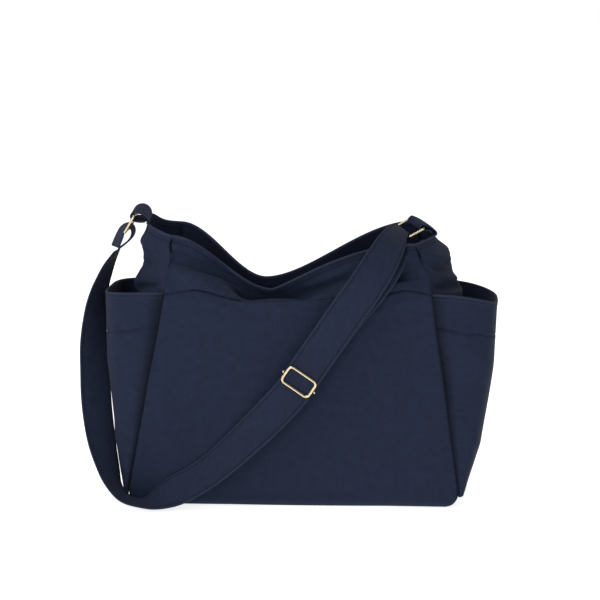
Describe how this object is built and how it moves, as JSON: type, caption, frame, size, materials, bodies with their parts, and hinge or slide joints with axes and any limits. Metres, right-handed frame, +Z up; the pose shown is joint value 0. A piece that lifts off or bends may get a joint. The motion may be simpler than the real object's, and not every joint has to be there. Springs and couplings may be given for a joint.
{
  "type": "diaper bag",
  "caption": "Slouchy navy canvas crossbody diaper bag with open side pouches, an adjustable flat strap with a slider, metal rings in fabric tabs, and a lined interior.",
  "frame": {"origin": "middle of the flat base, on the ground", "axes": "+X to the right seen from the front, -Y the front, +Z up"},
  "size_m": [0.471, 0.1818, 0.3315],
  "materials": {
    "canvas": "navy cotton canvas, plain weave, matt",
    "strap_canvas": "navy cotton canvas strap and tabs, topstitched",
    "lining": "thin woven cotton lining, grey navy",
    "board": "stiff base board",
    "elastic": "gathered elastic binding",
    "zip_tape": "woven zip tape",
    "zip_metal": "light gold metal zip",
    "snap_metal": "light gold magnetic snap",
    "gold": "polished pale gold wire"
  },
  "bodies": {
    "bag": {"front_panel": "canvas", "back_panel": "canvas", "front_yoke": "canvas", "back_yoke": "canvas", "left_gusset": "canvas", "right_gusset": "canvas", "base_panel": "canvas", "base_board": "board", "left_pocket": "canvas", "right_pocket": "canvas", "left_pocket_facing": "canvas", "right_pocket_facing": "canvas", "front_facing": "canvas", "back_facing": "canvas", "lining_front": "lining", "lining_back": "lining", "lining_left": "lining", "lining_right": "lining", "lining_base": "lining", "slip_pocket": "lining", "slip_pocket_elastic": "elastic", "zip_tapes": "zip_tape", "zip_teeth": "zip_metal", "zip_pocket_cloth": "lining", "snap_socket": "snap_metal", "snap_stud": "snap_metal", "left_strap_tab": "strap_canvas", "right_strap_tab": "strap_canvas"},
    "strap": {"strap": "strap_canvas", "strap_end_loop": "strap_canvas", "strap_return": "strap_canvas"},
    "left_ring": {"left_ring": "gold"},
    "right_ring": {"right_ring": "gold"},
    "strap_slider": {"slider_frame": "gold", "slider_bar": "gold"},
    "zip_slider": {"zip_slider": "zip_metal"},
    "zip_pull": {"zip_pull": "zip_metal"}
  },
  "joints": [
    {"name": "strap_swing", "type": "hinge", "parent": "bag", "child": "strap", "pos_m": [-0.1877, 0, 0.3197], "axis": [-0.9996, -0.0101, 0.0264], "range_deg": [0, 150], "deforming": ["left_strap_tab", "right_strap_tab"]},
    {"name": "left_ring_rock", "type": "hinge", "parent": "strap", "child": "left_ring", "pos_m": [-0.1877, 0, 0.3197], "axis": [0, -1, 0], "range_deg": [0, 12]},
    {"name": "right_ring_rock", "type": "hinge", "parent": "strap", "child": "right_ring", "pos_m": [0.13127, 0.00323, 0.31128], "axis": [-0.4517, 0.8565, 0.2498], "range_deg": [-3, 3]},
    {"name": "strap_adjust", "type": "slide", "parent": "strap", "child": "strap_slider", "axis": [0.5639, 0, 0.8258], "range_m": [0, 0.07], "deforming": ["strap_return"]},
    {"name": "zip_slide", "type": "slide", "parent": "bag", "child": "zip_slider", "axis": [1, 0, 0], "range_m": [0, 0.155]},
    {"name": "zip_pull_flip", "type": "hinge", "parent": "zip_slider", "child": "zip_pull", "pos_m": [-0.081, 0.0633, 0.186], "axis": [-1, 0, 0], "range_deg": [0, 150]}
  ]
}
